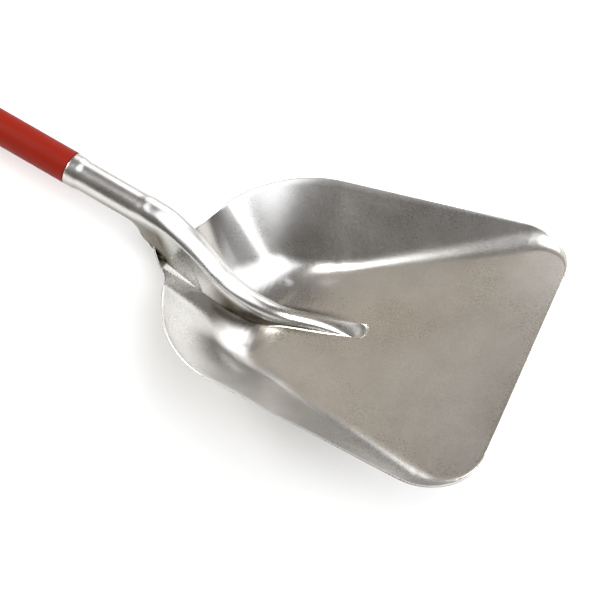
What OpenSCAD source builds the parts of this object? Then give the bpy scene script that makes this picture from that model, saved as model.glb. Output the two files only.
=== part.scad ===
/* [Blade outline] */
// Length of the blade from its rear rim to its lip
blade_length = 379; // [330:1:430]
// Width of the blade across the lip, measured where the sides would reach it
lip_width = 366; // [320:1:420]
// Width of the blade across the sides, measured where they would reach the rear rim
rear_width = 285; // [255:1:320]
// Radius of the two corners of the lip
lip_corner = 56; // [40:1:75]
// Length of each rear corner along the side
rear_corner_x = 114; // [95:1:130]
// Width of each rear corner along the rear rim
rear_corner_y = 129; // [115:1:135]
// Fullness of the rear corners, where a larger value is squarer
rear_fullness = 0.56; // [0.50:0.01:0.62]

/* [Blade walls] */
// Thickness of the aluminium sheet
sheet = 2; // [1.5:0.1:2.6]
// Height of the rear rim above the floor
rim_height = 110; // [90:1:125]
// Height of the rim at the lip, which keeps the edge from digging in
lip_rise = 0.8; // [0.5:0.1:2]
// Slope of the side walls above the floor, in degrees
side_slope = 47.5; // [44:0.5:55]
// Slope of the walls in the rear corners, in degrees
corner_slope = 72; // [66:1:76]
// Distance from the rear rim over which the corner slope turns into the side slope
slope_run = 140; // [110:1:170]
// Slope of the rear wall, in degrees
rear_slope = 58; // [54:1:64]
// How far the rear wall runs back past the rear rim's line, into the neck
rear_setback = 24; // [18:1:30]
// How far the rim dips where it runs into the neck
neck_dip = 20; // [12:1:26]
// Inner radius between the rear wall and the floor
heel_radius = 85; // [70:1:100]
// Radius between the side walls and the floor, at the rear
side_radius = 17; // [13:1:24]
// Radius between the side walls and the floor, at the lip
front_radius = 42; // [30:1:50]
// Inner radius between the corner walls and the floor
corner_radius = 60; // [45:1:75]

/* [Rib] */
// Distance from the rear rim to the rib's tip
rib_reach = 198; // [165:1:225]
// Width of the rib at its tip
rib_tip_width = 20; // [16:1:26]
// Extra width of the rib at the neck
rib_flare = 25; // [20:1:30]
// Distance over which that extra width falls to about a third
rib_flare_run = 110; // [80:1:140]
// Height of the rib above the floor at its tip
rib_tip_height = 6; // [5:0.5:8]
// Height of the rib above the floor at the heel
rib_heel_height = 16; // [12:1:20]
// Distance over which the rib's rounded crest narrows from the socket's radius
crest_run = 75; // [60:1:100]
// How low the rib's flanks flare out, where a larger value is lower
flare_power = 2.5; // [1.5:0.1:4]
// How far the rib's crest stands in front of the rear wall, at their feet
rib_stand_off = 13; // [11:1:19]
// Slope of the rib's crest in front of the rear wall, in degrees
crest_slope = 70; // [66:1:74]
// Radius of the rib's crest where it turns on to the floor
crest_radius = 90; // [75:1:105]

/* [Socket] */
// Angle of the handle above the floor of the blade, in degrees
lift = 33.5; // [30:0.5:38]
// Distance of the socket's mouth behind the rear rim
mouth_back = 123; // [112:1:140]
// Height of the socket's mouth, at its centre, above the floor
mouth_height = 200; // [190:1:212]
// Outer radius of the socket
socket_radius = 17.6; // [16.5:0.1:18.6]
// How much wider than the socket the collar at its mouth is, on the radius
collar_flare = 1.4; // [0.4:0.1:2]
// Length of the collar
collar_length = 9; // [6:1:14]
// Length of the fully rolled part of the socket
rolled_length = 84; // [78:1:90]
// Half the gap of the seam along the underside of the socket
seam_half_gap = 0.5; // [0.3:0.1:1]
// Half the width of the pressing where the rear rim turns into the neck
neck_half_width = 33; // [30:1:36]

/* [Handle] */
// Diameter of the handle
handle_diameter = 38; // [34:0.5:38.5]
// Length of the handle outside the socket
handle_length = 1100; // [800:10:1400]
// Length of the tenon inside the socket
tenon_length = 104; // [98:1:112]
// Radial clearance between the tenon and the socket
tenon_clearance = 0.4; // [0.3:0.1:1]
// Gap between the handle's shoulder and the socket's mouth
shoulder_gap = 0.5; // [0.3:0.1:1]

/* [Nail] */
// Distance of the nail from the inner end of the rolled socket
nail_inset = 8; // [-6:1:34]
// Angle of the nail from straight below the socket, in degrees
nail_angle = 25; // [20:1:40]
// Diameter of the nail's shank
nail_diameter = 3; // [2.4:0.1:4]
// Diameter of the nail's head
nail_head = 7; // [6:0.5:9]
// Length of the nail below its head
nail_length = 20; // [14:1:26]
// Clearance around the nail in its holes
nail_clearance = 0.15; // [0.1:0.05:0.3]

/* [Hidden] */

// Columns of the mesh across half of the sheet: rib, floor, radius, wall
crest_steps = 6;
flank_steps = 5;
rib_steps = crest_steps + flank_steps;
floor_steps = 3;
radius_steps = 6;
wall_steps = 3;
outer_steps = floor_steps + radius_steps + wall_steps;
half_steps = rib_steps + outer_steps;

// Narrowest strips of the mesh that the radius and the wall keep at the lip
min_strip = 8;

function mix(a, b, t) = a + (b - a) * t;
function clamp01(t) = min(1, max(0, t));
function ease(t) = t * t * (3 - 2 * t);
function soft_min(a, b, k) = min(a, b) - pow(max(k - abs(a - b), 0), 2) / (4 * k);

// Half the width of the blade along the straight part of its sides
function side_half(x) = mix(rear_width, lip_width, x / blade_length) / 2;

// Height of the rim above the floor
function rim_z(x) = lip_rise + (rim_height - lip_rise) * (blade_length - x) / blade_length;

// Height of a slope that turns through a radius on to the level, where foot is the corner without the radius
function bend_z(x, foot, slope, radius) =
    let (tangent = radius * tan(slope / 2), centre = foot + tangent)
    x >= centre ? 0 :
    x >= foot - tangent * cos(slope) ? radius - sqrt(pow(radius, 2) - pow(centre - x, 2)) :
    (foot - x) * tan(slope);

// Rear wall along the centre, without the rib: its foot, and where the floor becomes level
neck_x = -rear_setback;
neck_top = rim_height - neck_dip;
heel_foot = neck_top / tan(rear_slope) - rear_setback;
heel_centre_x = heel_foot + heel_radius * tan(rear_slope / 2);

// Half the width of the rib, and its height as seen from the side; crest_blend rounds the turn from the
// socket's line on to the rib's
crest_blend = 45;
function rib_half(x) = (rib_tip_width + rib_flare * exp((neck_x - x) / rib_flare_run)) / 2;
rib_round = rib_tip_width / 2;
rib_end = rib_reach - rib_round;
function rib_above_floor(x) =
    mix(rib_heel_height, rib_tip_height, clamp01((x - heel_foot) / (rib_end - heel_foot)));
function socket_axis_z(x) = mouth_height - (x + mouth_back) * tan(lift);
function crest_z(x) =
    soft_min(
        socket_axis_z(x) + socket_radius / cos(lift),
        bend_z(x, heel_foot + rib_stand_off, crest_slope, crest_radius) + rib_above_floor(x),
        crest_blend
    );

// Half the width of the rib's rounded crest, which flares out at its foot to the whole width
function crest_half(x) = mix(rib_tip_width / 2, socket_radius, exp((neck_x - x) / crest_run));

// Half of the rib's section from its crest down to its base, as [y, height above the base]:
// a rounded crest, then a flank that flares out at its foot
crest_share = 0.85;
function ridge(crest, base, height) =
    let (round = min(crest, crest_share * height))
    concat(
        [for (i = [0 : crest_steps - 1]) let (a = 90 * i / crest_steps)
            [crest * sin(a), height - round + round * cos(a)]],
        [for (i = [0 : flank_steps - 1]) let (q = i / flank_steps)
            [crest + (base - crest) * pow(q, flare_power), (height - round) * (1 - q)]]
    );

// Share of the rib's height that is left at a distance y from the centre, past the start of its tip
function tip_share(x, y) =
    let (past = max(0, x - rib_end) / rib_round, side = y / rib_half(x))
    past == 0 ? 1 : sqrt(max(0, 1 - past * past - side * side) / max(0.001, 1 - side * side));

// Wall below each point of the rim: how much of the corner's and the neck's shape it has, its slope,
// the radius at its foot, and how far that foot lies in from the rim
function corner_share(x) = pow(clamp01((slope_run - x) / slope_run), 2);
function neck_share(x) = ease(clamp01(1 - (x - neck_x) / (2 * rear_setback)));
function wall_slope(x) = mix(mix(side_slope, corner_slope, corner_share(x)), rear_slope, neck_share(x));
function wall_foot(x, top) = top / tan(wall_slope(x));
function fold_radius(x) = mix(side_radius, front_radius, clamp01(x / blade_length));
function wall_radius(x, top) =
    min(
        mix(mix(fold_radius(x), corner_radius, corner_share(x)), heel_radius, neck_share(x)),
        wall_share * top / sin(wall_slope(x)) / tan(wall_slope(x) / 2)
    );

// Most of a low wall that the radius at its foot may take up
wall_share = 0.9;

// The point of the rim nearest to p = [x, y], as [x, y, z, distance]
function on_stretch(k, p) =
    let (
        a = rim[k],
        d = rim[k + 1] - a,
        t = ((p[0] - a[0]) * d[0] + (p[1] - a[1]) * d[1]) / (d[0] * d[0] + d[1] * d[1])
    )
    a + clamp01(t) * d;
function nearest_rim(p) =
    let (
        points = [for (k = [0 : len(rim) - 2]) on_stretch(k, p)],
        away = [for (q = points) norm([q[0] - p[0], q[1] - p[1]])],
        least = min(away)
    )
    concat(points[search(least, away)[0]], least);

// Height of the sheet without the rib, by how far it lies in from the rim
function blade_z(x, y) =
    let (q = nearest_rim([x, y]))
    bend_z(q[3], wall_foot(q[0], q[2]), wall_slope(q[0]), wall_radius(q[0], q[2]));

// One cross-section of the blade from the centre to the rim, at a constant x; square is the cosine
// of the rim's angle to X, and no less than least_square
least_square = 0.25;
function blade_section(x, half, top, square) =
    let (
        base = rib_half(x),
        base_z = blade_z(x, base),
        foot = wall_foot(x, top),
        tangent = wall_radius(x, top) * tan(wall_slope(x) / 2),
        start = min(half - (foot + tangent) / square, mix(base, half, 0.9) - min_strip),
        finish = min(half - (foot - tangent * cos(wall_slope(x))) / square, half - min_strip / 2),
        inner = max(start, mix(base, half, 0.3)),
        outer = max(finish, mix(inner, half, 0.5))
    )
    concat(
        [for (p = ridge(crest_half(x), base, crest_z(x) - base_z))
            [x, p[0], base_z + p[1] * tip_share(x, p[0])]],
        [for (i = [0 : outer_steps])
            let (y = i <= floor_steps ? mix(base, inner, i / floor_steps) :
                i <= floor_steps + radius_steps ? mix(inner, outer, (i - floor_steps) / radius_steps) :
                mix(outer, half, (i - floor_steps - radius_steps) / wall_steps))
            [x, y, blade_z(x, y)]]
    );

// Where each column of the mesh lies around the rolled socket: the crest covers the upper half,
// the rib's flanks wrap round to flank_wrap, and the flanges beside the rib close the underside
flank_wrap = 150;
function socket_angle(i) =
    i <= crest_steps ? 90 * i / crest_steps :
    i <= rib_steps ? mix(90, flank_wrap, (i - crest_steps) / flank_steps) :
    mix(flank_wrap, 180 - asin(seam_half_gap / socket_radius), (i - rib_steps) / outer_steps);

// The flanges tuck under the neck sooner than the flanks close
edge_tuck = 2;
function column_turn(i, turn) = 1 - pow(1 - turn, 1 + edge_tuck * max(0, i - rib_steps) / outer_steps);

// One cross-section of the neck or socket, in a plane that leans back as turn goes from 0 to 1
rolled_x = rolled_length * cos(lift) - mouth_back;
collar_radius = socket_radius + collar_flare;
function neck_section(x, turn, radius) =
    [for (i = [0 : half_steps])
        let (
            lean = lift * turn,
            a = socket_angle(i),
            p = mix(neck_profile[i], radius * [sin(a), cos(a)], column_turn(i, turn))
        )
        [x + p[1] * sin(lean), p[0], socket_axis_z(x) + p[1] * cos(lean)]];

// Plan of the rim from the lip to the neck, as [x, half width, height]
side_angle = atan((lip_width - rear_width) / 2 / blade_length);
corner_centre_x = blade_length - lip_corner;
corner_centre_y = side_half(corner_centre_x) - lip_corner / cos(side_angle);
function on_rim(p) = [p[0], p[1], rim_z(p[0])];
function lip_point(a) = [corner_centre_x + lip_corner * cos(a), corner_centre_y + lip_corner * sin(a)];
side_start_x = lip_point(90 + side_angle)[0];
function bezier(p, t) =
    pow(1 - t, 3) * p[0] + 3 * t * pow(1 - t, 2) * p[1] + 3 * t * t * (1 - t) * p[2] + pow(t, 3) * p[3];
rear_corner = [
    [rear_corner_x, side_half(rear_corner_x)],
    [rear_corner_x * (1 - rear_fullness), side_half(rear_corner_x * (1 - rear_fullness))],
    [0, rear_width / 2 - rear_corner_y * (1 - rear_fullness)],
    [0, rear_width / 2 - rear_corner_y]
];
// The rim leaves the rear corner's curve at rear_stop and bends towards the neck, aiming first at rear_aim
rear_stop = 0.72;
rear_aim = 0.8;
neck_curve_start = bezier(rear_corner, rear_stop);
neck_curve_mid = bezier(rear_corner, rear_aim);
neck_curve_end = [neck_x, neck_half_width];
function neck_curve(t) =
    pow(1 - t, 2) * neck_curve_start + 2 * t * (1 - t) * neck_curve_mid + t * t * neck_curve_end;
function neck_rim_z(t) = mix(rim_z(neck_curve(t)[0]), neck_top, pow(t, 1.3));

lip_steps = 6;
side_steps = 5;
tip_steps = 4;
rib_side_steps = 4;
rear_steps = 14;
neck_curve_steps = 7;
neck_steps = 9;
plan = concat(
    [for (i = [0 : lip_steps]) on_rim(lip_point((90 + side_angle) * i / lip_steps))],
    [for (i = [1 : side_steps])
        let (x = mix(side_start_x, rib_reach, i / side_steps)) on_rim([x, side_half(x)])],
    [for (i = [1 : tip_steps])
        let (x = rib_end + rib_round * cos(90 * i / tip_steps)) on_rim([x, side_half(x)])],
    [for (i = [1 : rib_side_steps])
        let (x = mix(rib_end, rear_corner_x, i / rib_side_steps)) on_rim([x, side_half(x)])],
    [for (i = [1 : rear_steps]) on_rim(bezier(rear_corner, rear_stop * i / rear_steps))],
    [for (i = [1 : neck_curve_steps])
        let (t = i / neck_curve_steps) concat(neck_curve(t), neck_rim_z(t))]
);

// The rim as the walls see it, closed across the neck
rim = concat(plan, [[neck_x, 0, neck_top]]);

// The blade's last section, where the neck starts, as [y, height above the handle's axis]
neck_section_cut = blade_section(neck_x, neck_half_width, neck_top, 1);
neck_profile = [for (p = neck_section_cut) [p[1], p[2] - socket_axis_z(neck_x)]];

// Every half section, from the lip to the socket's mouth
function plan_square(i) =
    let (d = plan[min(i + 1, len(plan) - 1)] - plan[max(i - 1, 0)])
    i == 0 ? least_square : max(least_square, abs(d[0]) / norm([d[0], d[1]]));
half_sections = concat(
    [for (i = [0 : len(plan) - 1]) let (p = plan[i]) blade_section(p[0], p[1], p[2], plan_square(i))],
    [for (i = [1 : neck_steps])
        let (t = i / neck_steps) neck_section(mix(neck_x, rolled_x, t), ease(t), socket_radius)],
    [for (back = [collar_length * 2, collar_length, 0])
        neck_section(back * cos(lift) - mouth_back, 1, back > collar_length ? socket_radius : collar_radius)]
);

// The upper face of the sheet as a grid, and the under face a sheet's thickness away from it
function whole_section(half) = concat(
    [for (i = [half_steps : -1 : 1]) [half[i][0], -half[i][1], half[i][2]]],
    half
);
upper = [for (s = half_sections) whole_section(s)];
rows = len(upper);
columns = len(upper[0]);
function unit(v) = v / norm(v);
function sheet_normal(i, j) =
    unit(cross(
        upper[min(i + 1, rows - 1)][j] - upper[max(i - 1, 0)][j],
        upper[i][min(j + 1, columns - 1)] - upper[i][max(j - 1, 0)]
    ));
under = [for (i = [0 : rows - 1]) [for (j = [0 : columns - 1]) upper[i][j] + sheet * sheet_normal(i, j)]];

function corner(i, j, face) = face * rows * columns + i * columns + j;
sheet_faces = concat(
    [for (i = [0 : rows - 2], j = [0 : columns - 2], k = [0, 1])
        k == 0 ? [corner(i, j, 0), corner(i + 1, j, 0), corner(i + 1, j + 1, 0)]
               : [corner(i, j, 0), corner(i + 1, j + 1, 0), corner(i, j + 1, 0)]],
    [for (i = [0 : rows - 2], j = [0 : columns - 2], k = [0, 1])
        k == 0 ? [corner(i, j, 1), corner(i + 1, j + 1, 1), corner(i + 1, j, 1)]
               : [corner(i, j, 1), corner(i, j + 1, 1), corner(i + 1, j + 1, 1)]],
    [for (i = [0 : rows - 2], k = [0, 1])
        k == 0 ? [corner(i, 0, 0), corner(i, 0, 1), corner(i + 1, 0, 1)]
               : [corner(i, 0, 0), corner(i + 1, 0, 1), corner(i + 1, 0, 0)]],
    [for (i = [0 : rows - 2], k = [0, 1]) let (j = columns - 1)
        k == 0 ? [corner(i, j, 0), corner(i + 1, j, 1), corner(i, j, 1)]
               : [corner(i, j, 0), corner(i + 1, j, 0), corner(i + 1, j, 1)]],
    [for (j = [0 : columns - 2], k = [0, 1])
        k == 0 ? [corner(0, j, 0), corner(0, j + 1, 1), corner(0, j, 1)]
               : [corner(0, j, 0), corner(0, j + 1, 0), corner(0, j + 1, 1)]],
    [for (j = [0 : columns - 2], k = [0, 1]) let (i = rows - 1)
        k == 0 ? [corner(i, j, 0), corner(i, j, 1), corner(i, j + 1, 1)]
               : [corner(i, j, 0), corner(i, j + 1, 1), corner(i, j + 1, 0)]]
);

// The shovel lies on its heel and on the butt of its handle
butt_radius = handle_diameter / 2;
heel_outer = heel_radius + sheet;
butt_centre_x = -mouth_back - (handle_length - butt_radius) * cos(lift);
butt_centre_z = mouth_height + (handle_length - butt_radius) * sin(lift);
heel_to_butt = norm([heel_centre_x - butt_centre_x, butt_centre_z - heel_radius]);
rest_tilt =
    atan((butt_centre_z - heel_radius) / (heel_centre_x - butt_centre_x))
    + asin((heel_outer - butt_radius) / heel_to_butt);

// Where the lip and the butt come to, along X from the heel's centre, once the shovel lies at rest
lip_reach = (blade_length - heel_centre_x) * cos(rest_tilt) + heel_outer * sin(rest_tilt);
butt_reach =
    (butt_centre_x - heel_centre_x) * cos(rest_tilt)
    - (butt_centre_z - heel_radius) * sin(rest_tilt)
    - butt_radius;

// Puts a shape from the blade's own frame into the resting frame, with the origin at the middle of its length
module at_rest() {
    translate([-(lip_reach + butt_reach) / 2, 0, heel_outer])
        rotate([0, -rest_tilt, 0])
            translate([-heel_centre_x, 0, -heel_radius])
                children();
}

// Puts +Z along the handle's axis, away from the blade, with zero at the socket's mouth
module on_handle_axis() {
    translate([-mouth_back, 0, mouth_height])
        rotate([0, lift - 90, 0])
            children();
}

nail_back = rolled_length - nail_inset;

// Puts +Z along the nail, outwards, with zero at the outside of the socket
module on_nail_axis() {
    on_handle_axis()
        translate([0, 0, -nail_back])
            rotate([0, 0, nail_angle])
                rotate([0, -90, 0])
                    translate([0, 0, socket_radius])
                        children();
}

module blade_with_socket() {
    color("silver")
        at_rest()
            difference() {
                polyhedron(
                    points = concat([for (r = upper) each r], [for (r = under) each r]),
                    faces = sheet_faces
                );
                on_nail_axis()
                    translate([0, 0, -sheet * 2])
                        cylinder(h = sheet * 4, r = nail_diameter / 2 + nail_clearance, $fn = 32);
            }
}

module wooden_handle() {
    tenon_radius = socket_radius - sheet - tenon_clearance;
    tenon_chamfer = 2;
    dome = [for (a = [0 : 10 : 80])
        [butt_radius * cos(a), handle_length - butt_radius + butt_radius * sin(a)]];
    color("firebrick")
        at_rest()
            difference() {
                on_handle_axis()
                    rotate_extrude($fn = 96)
                        polygon(concat(
                            [[0, -tenon_length], [tenon_radius - tenon_chamfer, -tenon_length]],
                            [[tenon_radius, tenon_chamfer - tenon_length]],
                            [[tenon_radius, shoulder_gap], [butt_radius, shoulder_gap]],
                            dome,
                            [[0, handle_length]]
                        ));
                on_nail_axis()
                    translate([0, 0, -nail_length - nail_clearance])
                        cylinder(h = nail_length * 2, r = nail_diameter / 2 + nail_clearance, $fn = 32);
            }
}

module socket_nail() {
    color("gray")
        at_rest()
            on_nail_axis()
                rotate_extrude($fn = 48)
                    polygon([
                        [0, -nail_length],
                        [nail_diameter / 2, nail_diameter - nail_length],
                        [nail_diameter / 2, nail_clearance],
                        [nail_head / 2, nail_clearance],
                        [nail_head / 2, nail_clearance + nail_head / 10],
                        [nail_head / 4, nail_clearance + nail_head / 5],
                        [0, nail_clearance + nail_head / 5]
                    ]);
}

blade_with_socket();
wooden_handle();
socket_nail();
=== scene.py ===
"""Grain scoop shovel: pressed aluminium blade with a rolled socket, and a red lacquered wooden handle."""

import math

import bpy
from bpy.props import FloatProperty, FloatVectorProperty, PointerProperty, StringProperty
from bpy.types import Operator, Panel, PropertyGroup
from mathutils import Matrix, Vector


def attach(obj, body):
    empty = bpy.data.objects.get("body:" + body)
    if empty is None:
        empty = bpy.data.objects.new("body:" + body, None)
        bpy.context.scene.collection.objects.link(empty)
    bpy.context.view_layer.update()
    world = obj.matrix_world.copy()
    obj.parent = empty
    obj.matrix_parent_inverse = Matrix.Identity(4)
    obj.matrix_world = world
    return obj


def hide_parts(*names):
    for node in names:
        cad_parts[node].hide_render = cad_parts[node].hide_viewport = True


bl_info = {
    "name": "Grain Scoop Shovel",
    "version": (1, 0, 0),
    "blender": (4, 5, 0),
    "location": "3D View > Sidebar > Shovel",
    "description": "Builds the visible pieces of a grain scoop shovel over its CAD frame",
    "category": "Add Mesh",
}

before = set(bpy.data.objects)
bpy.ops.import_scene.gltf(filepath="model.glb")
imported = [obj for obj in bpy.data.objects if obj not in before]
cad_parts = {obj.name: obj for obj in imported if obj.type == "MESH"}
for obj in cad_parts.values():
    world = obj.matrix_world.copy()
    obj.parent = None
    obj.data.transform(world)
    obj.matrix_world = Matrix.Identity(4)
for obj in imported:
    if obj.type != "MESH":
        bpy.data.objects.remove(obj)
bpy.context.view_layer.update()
BODY = "root"
MM = 0.001


# Settings


def length(name, description, mm):
    """A size in metres, given in millimetres."""
    return FloatProperty(
        name=name, description=description, default=mm * MM, min=0.0, unit="LENGTH", precision=4
    )


def angle(name, description, degrees):
    """An angle in radians, given in degrees."""
    return FloatProperty(name=name, description=description, default=math.radians(degrees), unit="ROTATION")


def colour(name, description, default):
    """A colour as an sRGB hex value."""
    return StringProperty(name=name, description=description, default=default)


def share(name, description, default):
    """A number without a unit."""
    return FloatProperty(name=name, description=description, default=default, min=0.0)


class BladeSettings(PropertyGroup):
    """Sizes of the pressed sheet, the same as the CAD part's."""

    blade_length: length("Blade length", "From the rear rim to the lip", 379)
    lip_width: length("Lip width", "Across the lip, where the sides would reach it", 366)
    rear_width: length("Rear width", "Across the sides, where they would reach the rear rim", 285)
    lip_corner: length("Lip corner", "Radius of the two corners of the lip", 56)
    rear_corner_x: length("Rear corner length", "Length of each rear corner along the side", 114)
    rear_corner_y: length("Rear corner width", "Width of each rear corner along the rear rim", 129)
    rear_fullness: share("Rear fullness", "Fullness of the rear corners", 0.56)
    sheet: length("Sheet", "Thickness of the aluminium sheet", 2)
    rim_height: length("Rim height", "Height of the rear rim above the floor", 110)
    lip_rise: length("Lip rise", "Height of the rim at the lip", 0.8)
    side_slope: angle("Side slope", "Slope of the side walls", 47.5)
    corner_slope: angle("Corner slope", "Slope of the walls in the rear corners", 72)
    slope_run: length("Slope run", "Distance over which the corner slope turns into the side slope", 140)
    rear_slope: angle("Rear slope", "Slope of the rear wall", 58)
    rear_setback: length("Rear setback", "How far the rear wall runs back past the rear rim's line", 24)
    neck_dip: length("Neck dip", "How far the rim dips where it runs into the neck", 20)
    heel_radius: length("Heel radius", "Radius between the rear wall and the floor", 85)
    side_radius: length("Side radius", "Radius between the side walls and the floor, at the rear", 17)
    front_radius: length("Front radius", "Radius between the side walls and the floor, at the lip", 42)
    corner_radius: length("Corner radius", "Radius between the corner walls and the floor", 60)
    rib_reach: length("Rib reach", "From the rear rim to the rib's tip", 198)
    rib_tip_width: length("Rib tip width", "Width of the rib at its tip", 20)
    rib_flare: length("Rib flare", "Extra width of the rib at the neck", 25)
    rib_flare_run: length("Rib flare run", "Distance over which that extra width falls to about a third", 110)
    rib_tip_height: length("Rib tip height", "Height of the rib at its tip", 6)
    rib_heel_height: length("Rib heel height", "Height of the rib at the heel", 16)
    crest_run: length("Crest run", "Distance over which the rib's crest narrows", 75)
    flare_power: share("Flare power", "How low the rib's flanks flare out", 2.5)
    rib_stand_off: length("Rib stand-off", "How far the rib's crest stands in front of the rear wall", 13)
    crest_slope: angle("Crest slope", "Slope of the rib's crest in front of the rear wall", 70)
    crest_radius: length("Crest radius", "Radius of the rib's crest where it turns on to the floor", 90)
    lift: angle("Lift", "Angle of the handle above the floor of the blade", 33.5)
    mouth_back: length("Mouth back", "Distance of the socket's mouth behind the rear rim", 123)
    mouth_height: length("Mouth height", "Height of the socket's mouth above the floor", 200)
    socket_radius: length("Socket radius", "Outer radius of the socket", 17.6)
    collar_radius: length("Collar radius", "Outer radius of the collar at the mouth", 19)
    collar_length: length("Collar length", "Length of the collar", 9)
    rolled_length: length("Rolled length", "Length of the fully rolled part of the socket", 84)
    seam_half_gap: length("Seam half gap", "Half the gap of the seam under the socket", 0.5)
    neck_half_width: length("Neck half width", "Half the width where the rear rim turns into the neck", 33)
    metal: colour("Metal", "Colour of pickled aluminium sheet", "#D6D4D0")
    # This colour is painted shade: it darkens the rib's low flanks and the underside of the neck and socket
    grime: colour("Painted shade", "Colour of the oxide and grain dust along the rib", "#5A5342")
    worn_metal: colour("Worn metal", "Colour where the lip is rubbed bright", "#F2F0EA")


class HandleSettings(PropertyGroup):
    """Sizes and colours of the wooden handle and its nail."""

    diameter: length("Diameter", "Diameter of the handle", 38)
    reach: length("Length", "Length of the handle outside the socket", 1100)
    tenon_length: length("Tenon length", "Length of the tenon inside the socket", 104)
    tenon_clearance: length("Tenon clearance", "Radial clearance between the tenon and the socket", 0.4)
    shoulder_gap: length("Shoulder gap", "Gap between the handle's shoulder and the socket", 0.5)
    lacquer: colour("Lacquer", "Colour of the red lacquer", "#851703")
    deep_lacquer: colour("Deep lacquer", "Colour of the lacquer over the darker grain", "#82200E")
    nail_back: length("Nail back", "Distance of the nail from the socket's mouth", 76)
    nail_angle: angle("Nail angle", "Angle of the nail from straight below the socket", 25)
    nail_head: length("Nail head", "Diameter of the nail's head", 7)
    nail_diameter: length("Nail diameter", "Diameter of the nail's shank", 3)
    nail_length: length("Nail length", "Length of the nail below its head", 20)
    nail_clearance: length("Nail clearance", "Clearance around the nail", 0.15)
    zinc: colour("Zinc", "Colour of dull zinc", "#8C8A85")


class StageSettings(PropertyGroup):
    """The floor, the lights and the camera."""

    floor_side: FloatProperty(
        name="Floor side", description="Length of the floor's sides", default=40, unit="LENGTH"
    )
    floor_colour: colour("Floor colour", "Colour of the pale floor", "#F7F7F5")
    camera_aim: FloatVectorProperty(
        name="Camera aim",
        description="Point the camera looks at",
        default=(0.5809, 0.0291, 0.0288),
        unit="LENGTH",
    )
    camera_azimuth: angle("Camera azimuth", "Direction of the camera around the aim, from +X", -85.66)
    camera_elevation: angle("Camera elevation", "Height of the camera above the horizon", 56.58)
    camera_roll: angle("Camera roll", "Turn of the camera about its own axis", 27.56)
    camera_distance: FloatProperty(
        name="Camera distance", description="From the aim", default=1.153, unit="LENGTH"
    )
    lens: FloatProperty(
        name="Lens", description="Focal length in millimetres, on a 36 mm sensor", default=60.0
    )


# Small sums that the sheet's shape uses


def mix(a, b, t):
    """The value at share t of the way from a to b."""
    return a + (b - a) * t


def clamp01(t):
    """t held between 0 and 1."""
    return min(1.0, max(0.0, t))


def ease(t):
    """A share that starts and ends level."""
    return t * t * (3 - 2 * t)


def soft_min(a, b, k):
    """The smaller of two values, rounded over where they come within k of each other."""
    return min(a, b) - max(k - abs(a - b), 0) ** 2 / (4 * k)


def bend_z(x, foot, slope, radius):
    """Height of a slope that turns through a radius on to the level; foot is the sharp corner."""
    tangent = radius * math.tan(slope / 2)
    centre = foot + tangent
    if x >= centre:
        return 0.0
    if x >= foot - tangent * math.cos(slope):
        return radius - math.sqrt(radius**2 - (centre - x) ** 2)
    return (foot - x) * math.tan(slope)


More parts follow.
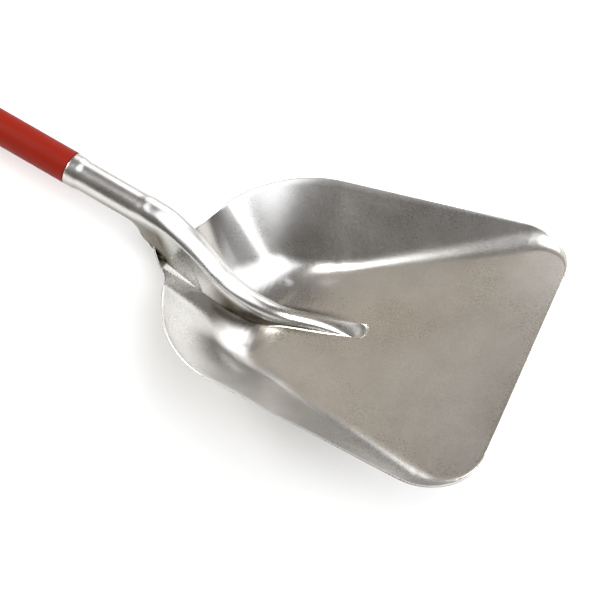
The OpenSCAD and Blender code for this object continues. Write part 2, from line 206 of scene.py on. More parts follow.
class Sheet:
    """The pressed sheet's upper face, in the blade's own frame: floor at z = 0, +X towards the lip."""

    CREST_STEPS = 20
    FLANK_STEPS = 14
    FLOOR_STEPS = 8
    RADIUS_STEPS = 14
    WALL_STEPS = 8
    MIN_STRIP = 8 * MM
    CREST_BLEND = 45 * MM
    CREST_SHARE = 0.85
    FLANK_WRAP = math.radians(150)
    EDGE_TUCK = 2
    # Most of a low wall that its radius may take up, and least cosine of the rim's angle to X
    WALL_SHARE = 0.9
    LEAST_SQUARE = 0.25
    # Where the rim leaves the rear corner's curve, and where on that curve it first aims
    REAR_STOP = 0.72
    REAR_AIM = 0.8
    # How late the rim rises to the neck's height
    NECK_RISE = 1.3
    # Rows along the rim and the neck
    LIP_STEPS = 28
    TIP_STEPS, MIDDLE_STEPS, SIDE_STEPS = 26, 24, 20
    CORNER_STEPS = 60
    REAR_STEPS = 24
    BEND_STEPS = 40
    TUBE_STEPS = 10
    COLLAR_STEPS = 12

    def __init__(self, s):
        """Works out the lengths that several sections share."""
        self.s = s
        self.neck_x = -s.rear_setback
        self.neck_top = s.rim_height - s.neck_dip
        self.heel_foot = self.neck_top / math.tan(s.rear_slope) - s.rear_setback
        self.heel_centre_x = self.heel_foot + s.heel_radius * math.tan(s.rear_slope / 2)
        self.rib_round = s.rib_tip_width / 2
        self.rib_end = s.rib_reach - self.rib_round
        self.outer_steps = self.FLOOR_STEPS + self.RADIUS_STEPS + self.WALL_STEPS

    def side_half(self, x):
        """Half the blade's width between its straight sides."""
        return mix(self.s.rear_width, self.s.lip_width, x / self.s.blade_length) / 2

    def rim_z(self, x):
        """Height of the rim, which rises from the lip to the rear."""
        s = self.s
        return s.lip_rise + (s.rim_height - s.lip_rise) * (s.blade_length - x) / s.blade_length

    def socket_axis_z(self, x):
        """Height of the socket's axis."""
        return self.s.mouth_height - (x + self.s.mouth_back) * math.tan(self.s.lift)

    def crest_z(self, x):
        """Height of the rib's crest, which runs into the top of the socket."""
        s = self.s
        along = clamp01((x - self.heel_foot) / (self.rib_end - self.heel_foot))
        rib = bend_z(x, self.heel_foot + s.rib_stand_off, s.crest_slope, s.crest_radius)
        socket = self.socket_axis_z(x) + s.socket_radius / math.cos(s.lift)
        return soft_min(socket, rib + mix(s.rib_heel_height, s.rib_tip_height, along), self.CREST_BLEND)

    def rib_half(self, x):
        """Half the rib's width at its base."""
        s = self.s
        return (s.rib_tip_width + s.rib_flare * math.exp((self.neck_x - x) / s.rib_flare_run)) / 2

    def crest_half(self, x):
        """Half the width of the rib's rounded crest."""
        s = self.s
        return mix(s.rib_tip_width / 2, s.socket_radius, math.exp((self.neck_x - x) / s.crest_run))

    def rear_share(self, x):
        """How much of the rear corner's slope and radius the wall has."""
        return clamp01((self.s.slope_run - x) / self.s.slope_run) ** 2

    def wall(self, x, top):
        """Slope of the wall, its radius, and how far its foot lies in from the rim."""
        s = self.s
        side, neck = self.rear_share(x), ease(clamp01(1 - (x - self.neck_x) / (2 * s.rear_setback)))
        slope = mix(mix(s.side_slope, s.corner_slope, side), s.rear_slope, neck)
        fold = mix(s.side_radius, s.front_radius, clamp01(x / s.blade_length))
        wanted = mix(mix(fold, s.corner_radius, side), s.heel_radius, neck)
        radius = min(wanted, self.WALL_SHARE * top / math.sin(slope) / math.tan(slope / 2))
        return slope, radius, top / math.tan(slope)

    def blade_z(self, x, y):
        """Height of the sheet without the rib, by how far it lies in from the nearest stretch of rim."""
        best = (1e9, 0, 0)
        for ax, ay, az, dx, dy, dz, squared in self.rim_stretches:
            t = clamp01(((x - ax) * dx + (y - ay) * dy) / squared)
            away = (x - ax - t * dx) ** 2 + (y - ay - t * dy) ** 2
            if away < best[0]:
                best = (away, ax + t * dx, az + t * dz)
        slope, radius, foot = self.wall(best[1], best[2])
        return bend_z(math.sqrt(best[0]), foot, slope, radius)

    def grime(self, x, column):
        """How much painted shade lies at a column: on the socket's and neck's underside, and low on the
        rib's flanks where they turn round the heel."""
        flank = (column - self.CREST_STEPS) / self.FLANK_STEPS
        below = ease(clamp01(2 * flank + 0.5))
        if x < self.neck_x:
            past_roll = clamp01((x + self.s.mouth_back - 2 * self.s.collar_length) / self.s.rolled_length)
            return below * mix(0.7, 0.95, past_roll)
        before_tip = ease(clamp01((self.rib_end - x) / (0.5 * self.rib_end)))
        beside_heel = ease(clamp01(x / self.heel_foot)) * before_tip
        leaving_neck = ease(clamp01(1 - (x - self.neck_x) / (0.6 * self.s.rear_setback)))
        return max(beside_heel * ease(clamp01(2 * flank + 0.1)), leaving_neck * below)

    def ridge(self, crest, base, height):
        """Half of the rib's section from its crest down to its base, as (y, height above the base)."""
        rounding = min(crest, self.CREST_SHARE * height)
        points = []
        for i in range(self.CREST_STEPS):
            a = math.pi / 2 * i / self.CREST_STEPS
            points.append((crest * math.sin(a), height - rounding + rounding * math.cos(a)))
        for i in range(self.FLANK_STEPS):
            q = i / self.FLANK_STEPS
            points.append((crest + (base - crest) * q**self.s.flare_power, (height - rounding) * (1 - q)))
        return points

    def tip_share(self, x, y):
        """Share of the rib's height that is left past the start of its rounded tip."""
        past = max(0.0, x - self.rib_end) / self.rib_round
        if past == 0:
            return 1.0
        side = y / self.rib_half(x)
        return math.sqrt(max(0.0, 1 - past**2 - side**2) / max(0.001, 1 - side**2))

    def blade_section(self, x, half, top, square):
        """From the centre to the rim, at a constant x; square is the cosine of the rim's angle to X."""
        base = self.rib_half(x)
        slope, radius, foot = self.wall(x, top)
        tangent = radius * math.tan(slope / 2)
        start = min(half - (foot + tangent) / square, mix(base, half, 0.9) - self.MIN_STRIP)
        finish = min(half - (foot - tangent * math.cos(slope)) / square, half - self.MIN_STRIP / 2)
        inner = max(start, mix(base, half, 0.3))
        outer = max(finish, mix(inner, half, 0.5))
        base_z = self.blade_z(x, base)
        points = []
        for y, h in self.ridge(self.crest_half(x), base, self.crest_z(x) - base_z):
            points.append(Vector((x, y, base_z + h * self.tip_share(x, y))))
        for i in range(self.outer_steps + 1):
            if i <= self.FLOOR_STEPS:
                y = mix(base, inner, i / self.FLOOR_STEPS)
            elif i <= self.FLOOR_STEPS + self.RADIUS_STEPS:
                y = mix(inner, outer, (i - self.FLOOR_STEPS) / self.RADIUS_STEPS)
            else:
                y = mix(outer, half, (i - self.FLOOR_STEPS - self.RADIUS_STEPS) / self.WALL_STEPS)
            points.append(Vector((x, y, self.blade_z(x, y))))
        return points

    def socket_angle(self, i):
        """Where each column lies around the rolled socket; the flanks wrap round to FLANK_WRAP."""
        s = self.s
        rib_steps = self.CREST_STEPS + self.FLANK_STEPS
        if i <= self.CREST_STEPS:
            return math.pi / 2 * i / self.CREST_STEPS
        if i <= rib_steps:
            return mix(math.pi / 2, self.FLANK_WRAP, (i - self.CREST_STEPS) / self.FLANK_STEPS)
        seam = math.pi - math.asin((s.seam_half_gap + s.sheet / 2) / s.socket_radius)
        return mix(self.FLANK_WRAP, seam, (i - rib_steps) / self.outer_steps)

    def neck_section(self, x, turn, radius):
        """In a plane that leans back as turn goes from 0 at the blade to 1 at the socket."""
        lean = self.s.lift * turn
        axis_z = self.socket_axis_z(x)
        rib_steps = self.CREST_STEPS + self.FLANK_STEPS
        points = []
        for i, (y0, h0) in enumerate(self.neck_profile):
            a = self.socket_angle(i)
            closed = 1 - (1 - turn) ** (1 + self.EDGE_TUCK * max(0, i - rib_steps) / self.outer_steps)
            y, h = mix(y0, radius * math.sin(a), closed), mix(h0, radius * math.cos(a), closed)
            points.append(Vector((x + h * math.sin(lean), y, axis_z + h * math.cos(lean))))
        return points

    def rim_plan(self):
        """The rim from the lip to the neck, as (x, half width, height)."""
        s = self.s
        side_angle = math.atan((s.lip_width - s.rear_width) / 2 / s.blade_length)
        cx = s.blade_length - s.lip_corner
        cy = self.side_half(cx) - s.lip_corner / math.cos(side_angle)
        quarter = math.pi / 2 + side_angle
        start_x = cx + s.lip_corner * math.cos(quarter)
        full = 1 - s.rear_fullness
        corner = [
            Vector((s.rear_corner_x, self.side_half(s.rear_corner_x))),
            Vector((s.rear_corner_x * full, self.side_half(s.rear_corner_x * full))),
            Vector((0, s.rear_width / 2 - s.rear_corner_y * full)),
            Vector((0, s.rear_width / 2 - s.rear_corner_y)),
        ]

        def bezier(t):
            """The rear corner's curve, from the side round to the rear."""
            u = 1 - t
            ends = corner[0] * u**3 + corner[1] * 3 * t * u**2
            return ends + corner[2] * 3 * t * t * u + corner[3] * t**3

        curve = (bezier(self.REAR_STOP), bezier(self.REAR_AIM), Vector((self.neck_x, s.neck_half_width)))
        plan = []
        for i in range(self.LIP_STEPS + 1):
            a = quarter * i / self.LIP_STEPS
            plan.append((cx + s.lip_corner * math.cos(a), cy + s.lip_corner * math.sin(a)))
        # The rows lie closest together over the rib's rounded tip
        before_tip, past_tip = s.rib_reach + 4 * MM, self.rib_end - 2 * MM
        stretches = (
            (start_x, before_tip, self.TIP_STEPS),
            (before_tip, past_tip, self.MIDDLE_STEPS),
            (past_tip, s.rear_corner_x, self.SIDE_STEPS),
        )
        for x0, x1, steps in stretches:
            for i in range(1, steps + 1):
                x = mix(x0, x1, i / steps)
                plan.append((x, self.side_half(x)))
        for i in range(1, self.CORNER_STEPS + 1):
            plan.append(tuple(bezier(self.REAR_STOP * i / self.CORNER_STEPS)))
        plan = [(x, y, self.rim_z(x)) for x, y in plan]
        for i in range(1, self.REAR_STEPS + 1):
            t = i / self.REAR_STEPS
            p = curve[0] * (1 - t) ** 2 + curve[1] * 2 * t * (1 - t) + curve[2] * t * t
            plan.append((p.x, p.y, mix(self.rim_z(p.x), self.neck_top, t**self.NECK_RISE)))
        return plan

    def rows(self, inset):
        """Every section from the lip to the socket's mouth, its edge drawn in by inset."""
        s = self.s
        plan = self.rim_plan()
        rim = plan + [(self.neck_x, 0, self.neck_top)]
        self.rim_stretches = []
        for (ax, ay, az), (bx, by, bz) in zip(rim, rim[1:]):
            squared = (bx - ax) ** 2 + (by - ay) ** 2
            self.rim_stretches.append((ax, ay, az, bx - ax, by - ay, bz - az, squared))
        rows = []
        for i, (x, y, z) in enumerate(plan):
            before, after = plan[max(i - 1, 0)], plan[min(i + 1, len(plan) - 1)]
            along = Vector((after[0] - before[0], after[1] - before[1])).normalized()
            if i == 0:
                along = Vector((0, 1))
            inward = Vector((-along.y, along.x))
            square = max(self.LEAST_SQUARE, abs(along.x))
            rows.append(self.blade_section(x + inward.x * inset, y + inward.y * inset, z, square))
        axis_z = self.socket_axis_z(self.neck_x)
        last = self.blade_section(self.neck_x, s.neck_half_width - inset, self.neck_top, 1)
        self.neck_profile = [(p.y, p.z - axis_z) for p in last]
        rolled_x = s.rolled_length * math.cos(s.lift) - s.mouth_back
        for i in range(1, self.BEND_STEPS + 1):
            t = i / self.BEND_STEPS
            rows.append(self.neck_section(mix(self.neck_x, rolled_x, t), ease(t), s.socket_radius))
        straight = s.rolled_length - 2 * s.collar_length
        for i in range(1, self.TUBE_STEPS + 1):
            back = s.rolled_length - straight * i / self.TUBE_STEPS
            rows.append(self.neck_section(back * math.cos(s.lift) - s.mouth_back, 1, s.socket_radius))
        for i in range(1, self.COLLAR_STEPS + 1):
            t = i / self.COLLAR_STEPS
            back = mix(2 * s.collar_length, inset, t)
            radius = mix(s.socket_radius, s.collar_radius, ease(clamp01(2 * t)))
            rows.append(self.neck_section(back * math.cos(s.lift) - s.mouth_back, 1, radius))
        return rows


def rest_matrix(blade, handle):
    """From the blade's own frame to the resting frame, in which heel and butt lie on the surface."""
    shape = Sheet(blade)
    butt = handle.diameter / 2
    heel = blade.heel_radius + blade.sheet
    butt_x = -blade.mouth_back - (handle.reach - butt) * math.cos(blade.lift)
    butt_z = blade.mouth_height + (handle.reach - butt) * math.sin(blade.lift)
    dx, dz = shape.heel_centre_x - butt_x, butt_z - blade.heel_radius
    tilt = math.atan2(dz, dx) + math.asin((heel - butt) / math.hypot(dx, dz))
    lip = (blade.blade_length - shape.heel_centre_x) * math.cos(tilt) + heel * math.sin(tilt)
    end = -dx * math.cos(tilt) - dz * math.sin(tilt) - butt
    return (
        Matrix.Translation((-(lip + end) / 2, 0, heel))
        @ Matrix.Rotation(-tilt, 4, "Y")
        @ Matrix.Translation((-shape.heel_centre_x, 0, -blade.heel_radius))
    )


def handle_matrix(blade, handle):
    """+Z along the handle's axis, away from the blade, with zero at the socket's mouth."""
    mouth = Matrix.Translation((-blade.mouth_back, 0, blade.mouth_height))
    return rest_matrix(blade, handle) @ mouth @ Matrix.Rotation(blade.lift - math.pi / 2, 4, "Y")


# Materials


def hex_colour(value):
    """An sRGB hex value as linear RGBA."""
    channels = [int(value[i : i + 2], 16) / 255 for i in (1, 3, 5)]
    linear = [c / 12.92 if c <= 0.04045 else ((c + 0.055) / 1.055) ** 2.4 for c in channels]
    return (*linear, 1.0)


def add(tree, kind, inputs=None, **settings):
    """Adds a node with its settings; an input takes a value or another node's socket."""
    node = tree.nodes.new("ShaderNode" + kind)
    for name, value in settings.items():
        setattr(node, name, value)
    for key, value in (inputs or {}).items():
        if isinstance(value, bpy.types.NodeSocket):
            tree.links.new(value, node.inputs[key])
        else:
            node.inputs[key].default_value = value
    return node


def new_material(name):
    """An empty material and its node tree."""
    material = bpy.data.materials.new(name)
    material.use_nodes = True
    material.node_tree.nodes.clear()
    return material, material.node_tree


def pickled_aluminium(s):
    """Rolled aluminium sheet, pressed and pickled: a soft satin with a fine sandy grain, faint draw
    streaks along the blade, a patchy brown-grey painted shade under the socket and neck and low on the
    rib's flanks, and a lip rubbed bright."""
    material, tree = new_material("pickled_aluminium")
    place = add(tree, "TexCoord").outputs["Object"]
    grain = add(tree, "TexNoise", {"Vector": place, "Scale": 1 / (2.2 * MM), "Detail": 2.0})
    mottle = add(tree, "TexNoise", {"Vector": place, "Scale": 1 / (28 * MM), "Detail": 4.0, "Roughness": 0.6})
    cloud = add(tree, "TexNoise", {"Vector": place, "Scale": 1 / (90 * MM), "Detail": 2.0})
    stretched = add(tree, "Mapping", {"Vector": place, "Scale": (0.05, 1.0, 0.05)})
    draw = add(tree, "TexNoise", {"Vector": stretched.outputs[0], "Scale": 1 / (3 * MM), "Detail": 2.0})
    wear = add(tree, "Attribute", attribute_name="wear").outputs["Fac"]
    tone = add(tree, "MapRange", {"Value": mottle.outputs[0], "From Min": 0.3, "From Max": 0.7,
                                  "To Min": 0.90, "To Max": 1.0})
    speck = add(tree, "MapRange", {"Value": grain.outputs[0], "From Min": 0.3, "From Max": 0.7,
                                   "To Min": 0.92, "To Max": 1.03})
    both = add(tree, "Math", {0: tone.outputs[0], 1: speck.outputs[0]}, operation="MULTIPLY")
    shade = add(tree, "VectorMath", {0: hex_colour(s.metal)[:3], "Scale": both.outputs[0]}, operation="SCALE")
    colour_out = add(tree, "Mix", {"Factor": wear, "A": shade.outputs[0], "B": hex_colour(s.worn_metal)},
                     data_type="RGBA")
    # Painted shade: a brown-grey mixed in by the attribute read here, broken up by the mottle, on the rib's
    # flanks and under the neck and socket
    grime = add(tree, "Attribute", attribute_name="grime").outputs["Fac"]
    patchy = add(tree, "MapRange", {"Value": mottle.outputs[0], "From Min": 0.25, "From Max": 0.65,
                                    "To Min": 0.75, "To Max": 1.0})
    amount = add(tree, "Math", {0: grime, 1: patchy.outputs[0]}, operation="MULTIPLY")
    soiled = add(tree, "Mix", {"Factor": amount.outputs[0], "A": colour_out.outputs["Result"],
                               "B": hex_colour(s.grime)}, data_type="RGBA")
    rough = add(tree, "MapRange", {"Value": cloud.outputs[0], "From Min": 0.3, "From Max": 0.7,
                                   "To Min": 0.22, "To Max": 0.28})
    rough_grain = add(tree, "Math", {0: grain.outputs[0], 1: 0.10, 2: rough.outputs[0]},
                      operation="MULTIPLY_ADD")
    rough_worn = add(tree, "Math", {0: wear, 1: -0.12, 2: rough_grain.outputs[0]}, operation="MULTIPLY_ADD")
    bump_fine = add(tree, "Bump", {"Strength": 0.04, "Distance": 0.05 * MM, "Height": grain.outputs[0]})
    bump_draw = add(tree, "Bump", {"Strength": 0.10, "Distance": 0.08 * MM, "Height": draw.outputs[0],
                                   "Normal": bump_fine.outputs[0]})
    bump_wave = add(tree, "Bump", {"Strength": 0.35, "Distance": 1.2 * MM, "Height": cloud.outputs[0],
                                   "Normal": bump_draw.outputs[0]})
    shader = add(tree, "BsdfPrincipled", {"Base Color": soiled.outputs["Result"], "Metallic": 1.0,
                                          "Roughness": rough_worn.outputs[0], "Normal": bump_wave.outputs[0]})
    add(tree, "OutputMaterial", {"Surface": shader.outputs[0]})
    return material


def lacquered_ash(s):
    """Turned ash dipped in red lacquer: an even satin film that sinks a little into the long grain."""
    material, tree = new_material("red_lacquered_ash")
    place = add(tree, "TexCoord").outputs["Object"]
    along = add(tree, "Mapping", {"Vector": place, "Scale": (0.03, 1.0, 1.0)})
    fibre = add(tree, "TexNoise", {"Vector": along.outputs[0], "Scale": 1 / (1.6 * MM), "Detail": 4.0})
    blotch = add(tree, "TexNoise", {"Vector": place, "Scale": 1 / (40 * MM), "Detail": 3.0})
    peel = add(tree, "TexNoise", {"Vector": place, "Scale": 1 / (2 * MM), "Detail": 1.0})
    amount = add(tree, "MapRange", {"Value": fibre.outputs[0], "From Min": 0.35, "From Max": 0.7,
                                    "To Min": 0.0, "To Max": 0.6})
    tint = add(tree, "Mix", {"Factor": amount.outputs[0], "A": hex_colour(s.lacquer),
                             "B": hex_colour(s.deep_lacquer)}, data_type="RGBA")
    rough = add(tree, "MapRange", {"Value": blotch.outputs[0], "From Min": 0.3, "From Max": 0.7,
                                   "To Min": 0.46, "To Max": 0.56})
    bump_fibre = add(tree, "Bump", {"Strength": 0.12, "Distance": 0.1 * MM, "Height": fibre.outputs[0]})
    bump_peel = add(tree, "Bump", {"Strength": 0.08, "Distance": 0.1 * MM, "Height": peel.outputs[0],
                                   "Normal": bump_fibre.outputs[0]})
    shader = add(tree, "BsdfPrincipled", {"Base Color": tint.outputs["Result"], "Roughness": rough.outputs[0],
                                          "Normal": bump_peel.outputs[0], "Specular IOR Level": 0.15})
    add(tree, "OutputMaterial", {"Surface": shader.outputs[0]})
    return material


def zinc_steel(s):
    """Zinc-dipped steel nail, dulled by handling: grey, slightly blotched, low sheen."""
    material, tree = new_material("dull_zinc_steel")
    place = add(tree, "TexCoord").outputs["Object"]
    spangle = add(tree, "TexVoronoi", {"Vector": place, "Scale": 1 / (0.9 * MM)})
    tone = add(tree, "MapRange", {"Value": spangle.outputs["Distance"], "To Min": 0.75, "To Max": 1.05})
    shade = add(tree, "VectorMath", {0: hex_colour(s.zinc)[:3], "Scale": tone.outputs[0]}, operation="SCALE")
    bump = add(tree, "Bump", {"Strength": 0.2, "Distance": 0.05 * MM, "Height": spangle.outputs["Distance"]})
    shader = add(tree, "BsdfPrincipled", {"Base Color": shade.outputs[0], "Metallic": 1.0, "Roughness": 0.45,
                                          "Normal": bump.outputs[0]})
    add(tree, "OutputMaterial", {"Surface": shader.outputs[0]})
    return material


def pale_paper(s):
    """Matt seamless paper, with a barely visible tooth."""
    material, tree = new_material("pale_studio_paper")
    place = add(tree, "TexCoord").outputs["Object"]
    tooth = add(tree, "TexNoise", {"Vector": place, "Scale": 1 / (1.5 * MM), "Detail": 2.0})
    bump = add(tree, "Bump", {"Strength": 0.03, "Distance": 0.1 * MM, "Height": tooth.outputs[0]})
    shader = add(tree, "BsdfPrincipled", {"Base Color": hex_colour(s.floor_colour), "Roughness": 0.95,
                                          "Normal": bump.outputs[0]})
    add(tree, "OutputMaterial", {"Surface": shader.outputs[0]})
    return material


# Meshes


def new_object(name, vertices, faces, material, sharp_degrees=40):
    """Adds a mesh to the scene, smooth but for edges sharper than the angle."""
    mesh = bpy.data.meshes.new(name)
    mesh.from_pydata([tuple(v) for v in vertices], [], faces)
    mesh.validate()
    mesh.materials.append(material)
    mesh.shade_smooth()
    mesh.set_sharp_from_angle(angle=math.radians(sharp_degrees))
    mesh.update()
    piece = bpy.data.objects.new(name, mesh)
    bpy.context.scene.collection.objects.link(piece)
    return piece


def sheet_mesh(shape, blade):
    """Vertices, faces, and each vertex's place: how far forward it is, and how much painted shade it takes.
    """
    half_sheet = blade.sheet / 2
    rows = [[Vector((p.x, -p.y, p.z)) for p in reversed(half[1:])] + half for half in shape.rows(half_sheet)]
    count, width = len(rows), len(rows[0])

    def normal(i, j):
        """The upward normal at a point of the mesh."""
        down = rows[min(i + 1, count - 1)][j] - rows[max(i - 1, 0)][j]
        across = rows[i][min(j + 1, width - 1)] - rows[i][max(j - 1, 0)]
        return across.cross(down).normalized()

    normals = [[normal(i, j) for j in range(width)] for i in range(count)]
    vertices = [p.copy() for row in rows for p in row]
    vertices += [rows[i][j] - normals[i][j] * blade.sheet for i in range(count) for j in range(width)]
    under = count * width
    faces = []
    for i in range(count - 1):
        for j in range(width - 1):
            a, b, c, d = i * width + j, i * width + j + 1, (i + 1) * width + j + 1, (i + 1) * width + j
            faces.append((a, b, c, d))
            faces.append((under + d, under + c, under + b, under + a))
    loop = [(0, j) for j in range(width)]
    loop += [(i, width - 1) for i in range(1, count)]
    loop += [(count - 1, j) for j in range(width - 2, -1, -1)]
    loop += [(i, 0) for i in range(count - 2, 0, -1)]
    edge_steps = 6
    rings = [[i * width + j for i, j in loop]]
    for k in range(1, edge_steps):
        a = math.pi * k / edge_steps
        ring = []
        for n, (i, j) in enumerate(loop):
            before, after = loop[n - 1], loop[(n + 1) % len(loop)]
            along = (rows[after[0]][after[1]] - rows[before[0]][before[1]]).normalized()
            up = normals[i][j]
            outward = along.cross(up).normalized()
            ring.append(len(vertices))
            down, out = half_sheet * (1 - math.cos(a)), half_sheet * math.sin(a)
            vertices.append(rows[i][j] - up * down + outward * out)
        rings.append(ring)
    rings.append([under + i * width + j for i, j in loop])
    for k in range(edge_steps):
        for n in range(len(loop)):
            m = (n + 1) % len(loop)
            faces.append((rings[k][n], rings[k + 1][n], rings[k + 1][m], rings[k][m]))
    middle = width // 2
    crease = shape.CREST_STEPS + shape.FLANK_STEPS
    # Painted shade: the rib's columns take it, and in the neck and socket every column does
    depth = []
    for row in rows:
        for j in range(width):
            column = abs(j - middle)
            in_neck = row[middle].x < shape.neck_x
            depth.append(shape.grime(row[middle].x, column) if column <= crease or in_neck else 0.0)
    depth += [0.0] * (len(vertices) - len(depth))
    return vertices, faces, [p.x for p in vertices], depth


def lathe(profile, segments, matrix):
    """A closed turned solid from (radius, z) points that start and end on the axis."""
    vertices = [matrix @ Vector((0, 0, profile[0][1]))]
    for radius, z in profile[1:-1]:
        for k in range(segments):
            a = 2 * math.pi * k / segments
            vertices.append(matrix @ Vector((radius * math.cos(a), radius * math.sin(a), z)))
    vertices.append(matrix @ Vector((0, 0, profile[-1][1])))
    last = len(vertices) - 1
    rings = len(profile) - 2
    faces = []
    for k in range(segments):
        m = (k + 1) % segments
        faces.append((0, 1 + m, 1 + k))
        for r in range(rings - 1):
            a, b = 1 + r * segments, 1 + (r + 1) * segments
            faces.append((a + k, a + m, b + m, b + k))
        a = 1 + (rings - 1) * segments
        faces.append((a + k, a + m, last))
    return vertices, faces


def settings():
    """The blade's, the handle's and the stage's settings."""
    scene = bpy.context.scene
    return scene.shovel_blade, scene.shovel_handle, scene.shovel_stage


class SHOVEL_OT_blade(Operator):
    """Build the pressed aluminium blade with its rib, neck and rolled socket"""

    bl_idname = "shovel.blade"
    bl_label = "Blade and socket"

    def execute(self, context):
        """Builds the sheet, its wear and its painted shade."""
        blade, handle, _ = settings()
        shape = Sheet(blade)
        vertices, faces, forward, depth = sheet_mesh(shape, blade)
        at_rest = rest_matrix(blade, handle)
        vertices = [at_rest @ v for v in vertices]
        piece = new_object("pressed_blade", vertices, faces, pickled_aluminium(blade))
        wear = piece.data.attributes.new("wear", "FLOAT", "POINT")
        worn = 9 * MM
        rubbed = [clamp01((x - blade.blade_length + worn) / worn) ** 2 for x in forward]
        wear.data.foreach_set("value", rubbed)
        # The painted shade's amounts, stored on the mesh for the material
        grime = piece.data.attributes.new("grime", "FLOAT", "POINT")
        grime.data.foreach_set("value", depth)
        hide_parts("blade_with_socket")
        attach(piece, BODY)
        return {"FINISHED"}


class SHOVEL_OT_handle(Operator):
    """Build the straight wooden handle with its tenon and domed butt"""

    bl_idname = "shovel.handle"
    bl_label = "Handle"

    def execute(self, context):
        """Turns the tenon, shoulder, shaft and butt as one solid."""
        blade, handle, _ = settings()
        radius = handle.diameter / 2
        tenon = blade.socket_radius - blade.sheet - handle.tenon_clearance
        ease_edge, chamfer = 0.8 * MM, 2 * MM
        edge_steps, shaft_steps, butt_steps, segments = 5, 24, 18, 96
        profile = [(0, -handle.tenon_length), (tenon - chamfer, -handle.tenon_length)]
        profile += [(tenon, chamfer - handle.tenon_length), (tenon, handle.shoulder_gap)]
        for i in range(edge_steps + 1):
            a = math.pi / 2 * i / edge_steps
            z = handle.shoulder_gap + ease_edge * (1 - math.cos(a))
            profile.append((radius - ease_edge * (1 - math.sin(a)), z))
        shaft = handle.reach - radius
        for i in range(shaft_steps + 1):
            profile.append((radius, mix(handle.shoulder_gap + 2 * ease_edge, shaft, i / shaft_steps)))
        for i in range(1, butt_steps):
            a = math.pi / 2 * i / butt_steps
            profile.append((radius * math.cos(a), shaft + radius * math.sin(a)))
        profile.append((0, handle.reach))
        vertices, faces = lathe(profile, segments, handle_matrix(blade, handle))
        piece = new_object("lacquered_handle", vertices, faces, lacquered_ash(handle))
        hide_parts("wooden_handle")
        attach(piece, BODY)
        return {"FINISHED"}


class SHOVEL_OT_nail(Operator):
    """Build the nail that fixes the handle in the socket"""

    bl_idname = "shovel.nail"
    bl_label = "Nail"

    def execute(self, context):
        """Turns the shank and head about the nail's axis."""
        blade, handle, _ = settings()
        place = (
            handle_matrix(blade, handle)
            @ Matrix.Translation((0, 0, -handle.nail_back))
            @ Matrix.Rotation(handle.nail_angle, 4, "Z")
            @ Matrix.Rotation(-math.pi / 2, 4, "Y")
            @ Matrix.Translation((0, 0, blade.socket_radius))
        )
        shank, head, gap = handle.nail_diameter / 2, handle.nail_head / 2, handle.nail_clearance
        # The head's side and its dome are each a tenth of its diameter high
        side, dome_steps, segments, sharp_degrees = 0.1, 8, 40, 30
        point = handle.nail_diameter - handle.nail_length
        profile = [(0, -handle.nail_length), (shank, point), (shank, gap)]
        profile += [(head, gap), (head, gap + side * handle.nail_head)]
        for i in range(1, dome_steps):
            a = math.pi / 2 * i / dome_steps
            profile.append((head * math.cos(a), gap + handle.nail_head * (side + side * math.sin(a))))
        profile.append((0, gap + 2 * side * handle.nail_head))
        vertices, faces = lathe(profile, segments, place)
        piece = new_object("socket_nail_head", vertices, faces, zinc_steel(handle), sharp_degrees)
        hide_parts("socket_nail")
        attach(piece, BODY)
        return {"FINISHED"}


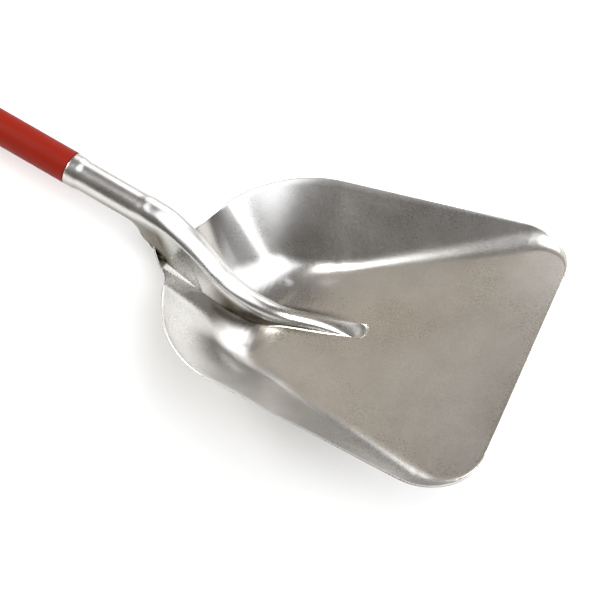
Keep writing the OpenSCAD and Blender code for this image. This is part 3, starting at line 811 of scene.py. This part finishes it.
class SHOVEL_OT_stage(Operator):
    """Build the pale floor, the soft studio lights and the camera"""

    bl_idname = "shovel.stage"
    bl_label = "Stage"

    def execute(self, context):
        """Adds the floor, the lights, the world and the camera."""
        stage = settings()[2]
        scene = context.scene
        side = stage.floor_side / 2
        corners = [(-side, -side, 0), (side, -side, 0), (side, side, 0), (-side, side, 0)]
        floor = new_object("studio_floor", corners, [(0, 1, 2, 3)], pale_paper(stage))
        aim = Vector(stage.camera_aim)
        # Each light's direction and distance from the aim, its sides, power and tint
        for name, direction, distance, size, power, tint in (
            ("overhead_softbox", (0.20, -0.06, 1.0), 1.8, (2.0, 1.8), 24.0, "#F6F9FF"),
            ("front_softbox", (0.80, 0.35, 0.55), 2.4, (2.4, 2.4), 42.0, "#FBFCFF"),
            ("far_side_softbox", (-0.05, 0.82, 0.56), 2.2, (2.1, 1.7), 27.0, "#FBFCFF"),
            ("handle_end_softbox", (-0.865, -0.21, 0.46), 2.2, (0.9, 0.8), 44.0, "#FFFFFF"),
            ("side_bounce", (-0.78, 0.58, 0.26), 2.4, (1.8, 1.3), 3.0, "#FFF0DA"),
        ):
            data = bpy.data.lights.new(name, "AREA")
            data.shape = "RECTANGLE"
            data.size, data.size_y = size
            data.energy = power
            data.color = hex_colour(tint)[:3]
            light = bpy.data.objects.new(name, data)
            light.location = aim + Vector(direction).normalized() * distance
            light.rotation_euler = (aim - light.location).to_track_quat("-Z", "Y").to_euler()
            scene.collection.objects.link(light)
        world = bpy.data.worlds.new("studio_air")
        world.use_nodes = True
        world.node_tree.nodes["Background"].inputs["Color"].default_value = hex_colour("#A89F97")
        world.node_tree.nodes["Background"].inputs["Strength"].default_value = 0.27
        scene.world = world
        scene.view_settings.view_transform = "Standard"
        data = bpy.data.cameras.new("camera")
        data.lens, data.sensor_width = stage.lens, 36.0
        camera = bpy.data.objects.new("camera", data)
        flat = math.cos(stage.camera_elevation)
        away = Vector((flat * math.cos(stage.camera_azimuth), flat * math.sin(stage.camera_azimuth),
                       math.sin(stage.camera_elevation)))
        camera.location = aim + away * stage.camera_distance
        level = (-away).to_track_quat("-Z", "Y").to_matrix()
        camera.rotation_euler = (level @ Matrix.Rotation(stage.camera_roll, 3, "Z")).to_euler()
        scene.collection.objects.link(camera)
        scene.camera = camera
        return {"FINISHED"}


class SHOVEL_PT_panel(Panel):
    """Lists the shovel's pieces"""

    bl_label = "Grain Scoop Shovel"
    bl_idname = "SHOVEL_PT_panel"
    bl_space_type = "VIEW_3D"
    bl_region_type = "UI"
    bl_category = "Shovel"

    def draw(self, context):
        """Lists one button for the stage and one for each piece."""
        for operator in OPERATORS:
            self.layout.operator(operator.bl_idname)


OPERATORS = (SHOVEL_OT_stage, SHOVEL_OT_blade, SHOVEL_OT_handle, SHOVEL_OT_nail)
CLASSES = (BladeSettings, HandleSettings, StageSettings, *OPERATORS, SHOVEL_PT_panel)


def register():
    """Adds the classes and their settings to Blender."""
    for cls in CLASSES:
        bpy.utils.register_class(cls)
    bpy.types.Scene.shovel_blade = PointerProperty(type=BladeSettings)
    bpy.types.Scene.shovel_handle = PointerProperty(type=HandleSettings)
    bpy.types.Scene.shovel_stage = PointerProperty(type=StageSettings)


def unregister():
    """Takes the classes and their settings out again."""
    del bpy.types.Scene.shovel_stage
    del bpy.types.Scene.shovel_handle
    del bpy.types.Scene.shovel_blade
    for cls in reversed(CLASSES):
        bpy.utils.unregister_class(cls)


def main():
    """Builds the stage and every piece."""
    register()
    bpy.ops.shovel.stage()
    bpy.ops.shovel.blade()
    bpy.ops.shovel.handle()
    bpy.ops.shovel.nail()


if __name__ == "__main__":
    main()
